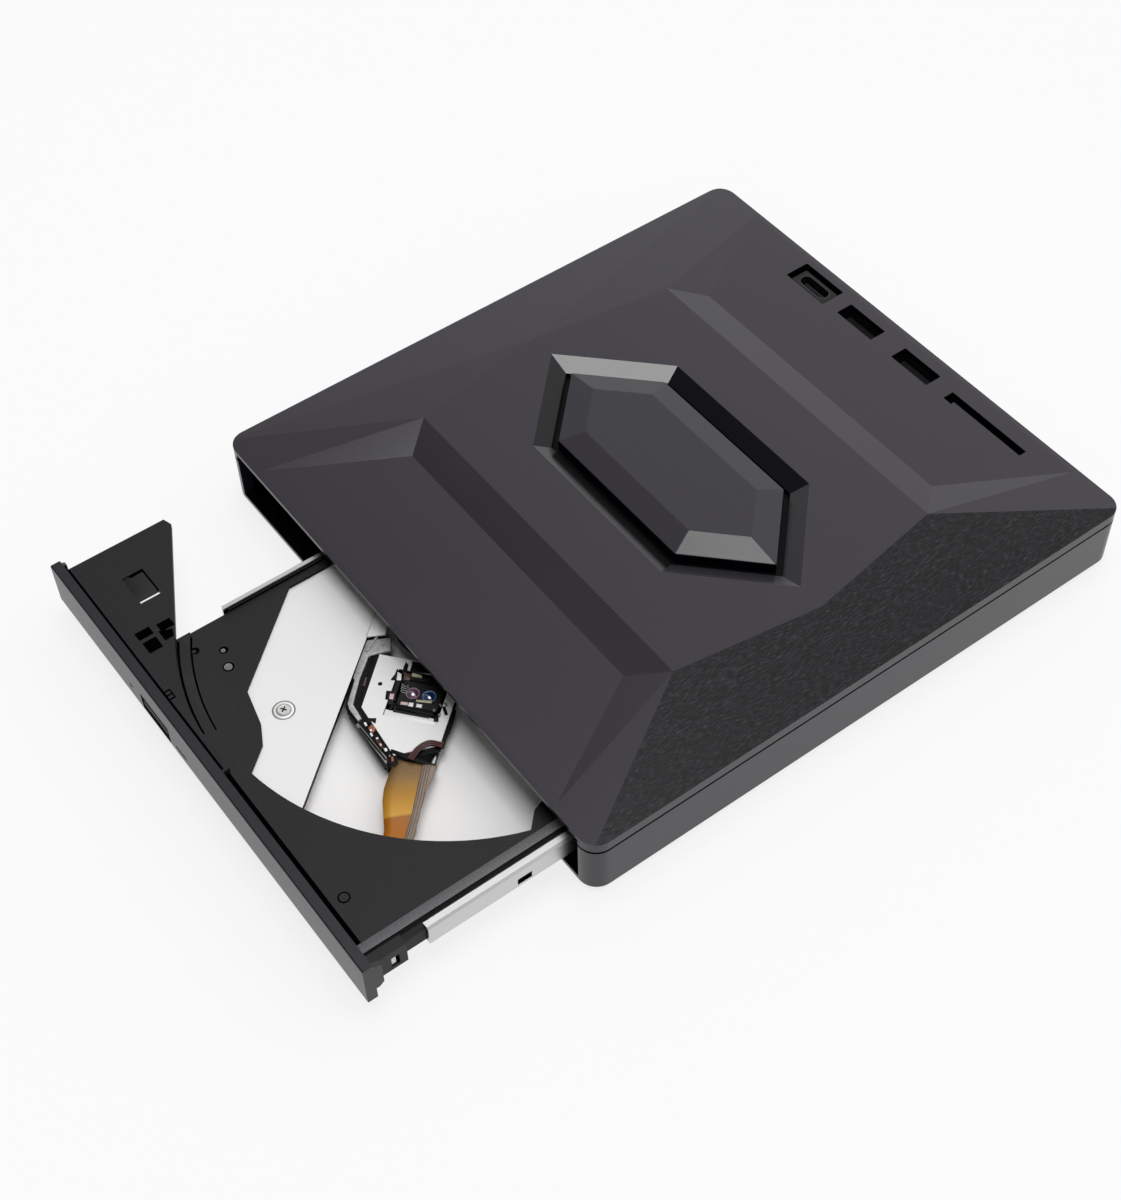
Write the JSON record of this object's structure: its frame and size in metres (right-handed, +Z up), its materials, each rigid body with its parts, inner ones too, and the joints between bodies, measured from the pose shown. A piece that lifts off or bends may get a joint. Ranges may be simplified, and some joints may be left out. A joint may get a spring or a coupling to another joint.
{
  "type": "external disc drive",
  "caption": "Flat external disc drive with a faceted cover, a half-open slim tray, its pickup and spindle, and sockets along the rear edge.",
  "frame": {"origin": "middle of the case, on the plane that the four feet stand on", "axes": "+X to the right seen from the tray's side, +Y to the rear edge with the sockets, +Z up; the tray comes out along -Y"},
  "size_m": [0.142, 0.2004, 0.0207],
  "materials": {
    "shell": "satin dark grey with a faint grain",
    "gem": "polished dark metallic",
    "foot_rubber": "matte",
    "screw_steel": "zinc plated",
    "circuit_board": "solder-mask green",
    "chip": "moulded black",
    "socket_steel": "bright stamped sheet",
    "socket_plastic": "moulded black",
    "sheet_metal": "zinc-plated sheet",
    "rail_steel": "bright rolled channel",
    "tray_plastic": "fine-grained black",
    "bezel_plastic": "satin dark grey",
    "clear_plastic": "milky clear",
    "button_plastic": "satin dark grey",
    "lamp_white": "small lamp body",
    "bright_plate": "bright, nearly white sheet",
    "rod_steel": "ground",
    "sled_plastic": "moulded dark grey",
    "motor_steel": "drawn can",
    "hub_plastic": "satin black",
    "seat_rubber": "thin pad",
    "yoke_plastic": "moulded black",
    "lens_blue_glass": "coated, blue",
    "lens_pink_glass": "coated, pinkish",
    "wire_red": "enamelled",
    "ribbon_film": "translucent orange film"
  },
  "bodies": {
    "case": {"base_shell": "shell", "top_cover": "shell", "gem_insert": "gem", "feet": "foot_rubber", "case_screws": "screw_steel", "drive_screws": "screw_steel", "hub_board": "circuit_board", "hub_chip": "chip", "usb_a_shell_1": "socket_steel", "usb_a_tongue_1": "socket_plastic", "usb_a_shell_2": "socket_steel", "usb_a_tongue_2": "socket_plastic", "usb_c_block": "socket_plastic", "usb_c_shell": "socket_steel", "usb_c_tongue": "socket_plastic", "card_socket": "socket_plastic", "drive_pan": "sheet_metal", "drive_lid": "sheet_metal", "guide_right": "sheet_metal", "guide_left": "sheet_metal", "drive_board": "circuit_board", "drive_chips": "chip", "drive_socket": "socket_plastic", "drive_plug": "socket_plastic"},
    "rails": {"rail_right": "rail_steel", "rail_left": "rail_steel"},
    "tray": {"tray_frame": "tray_plastic", "bezel": "bezel_plastic", "light_pipe": "clear_plastic", "front_board": "circuit_board", "eject_switch": "chip", "lamp": "lamp_white", "side_catch": "tray_plastic", "belly_plate": "bright_plate", "cover_plate": "bright_plate", "plate_screw": "screw_steel", "guide_rods": "rod_steel", "rod_clamps": "sled_plastic", "sled_motor": "motor_steel", "spindle_base": "motor_steel", "pickup_ribbon": "ribbon_film"},
    "button": {"eject_button": "button_plastic"},
    "spindle": {"turntable": "hub_plastic", "disc_seat": "seat_rubber", "hub_claws": "hub_plastic"},
    "sled": {"sled_base": "sled_plastic", "sled_nut": "sled_plastic", "sled_cover": "bright_plate", "actuator_yoke": "yoke_plastic", "laser_wires": "wire_red"},
    "lens": {"lens_holder": "yoke_plastic", "lens_blue": "lens_blue_glass", "lens_red": "lens_pink_glass"},
    "screw": {"lead_screw": "rod_steel"}
  },
  "joints": [
    {"name": "rail_slide", "type": "slide", "parent": "case", "child": "rails", "axis": [0, -1, 0], "range_m": [-0.05, 0.042]},
    {"name": "tray_slide", "type": "slide", "parent": "rails", "child": "tray", "axis": [0, -1, 0], "range_m": [0, 0.033]},
    {"name": "eject_press", "type": "slide", "parent": "tray", "child": "button", "axis": [0, 1, 0], "range_m": [0, 0.0005], "stiffness_N_per_m": 400},
    {"name": "disc_spin", "type": "hinge", "parent": "tray", "child": "spindle", "pos_m": [0.0013, -0.0595, 0.01], "axis": [0, 0, 1], "continuous": true},
    {"name": "sled_travel", "type": "slide", "parent": "tray", "child": "sled", "axis": [0.6428, -0.766, 0], "range_m": [0, 0.035], "deforming": ["pickup_ribbon"]},
    {"name": "screw_turn", "type": "hinge", "parent": "tray", "child": "screw", "pos_m": [-0.00545, -0.09128, 0.00755], "axis": [0.6428, -0.766, 0], "range_deg": [-10, 4210]},
    {"name": "lens_focus", "type": "slide", "parent": "sled", "child": "lens", "axis": [0, 0, 1], "range_m": [-0.0003, 0.0003], "stiffness_N_per_m": 60}
  ],
  "couplings": [
    {"joint": "screw_turn", "follows": "sled_travel", "rad_per_m": 2094.4}
  ]
}
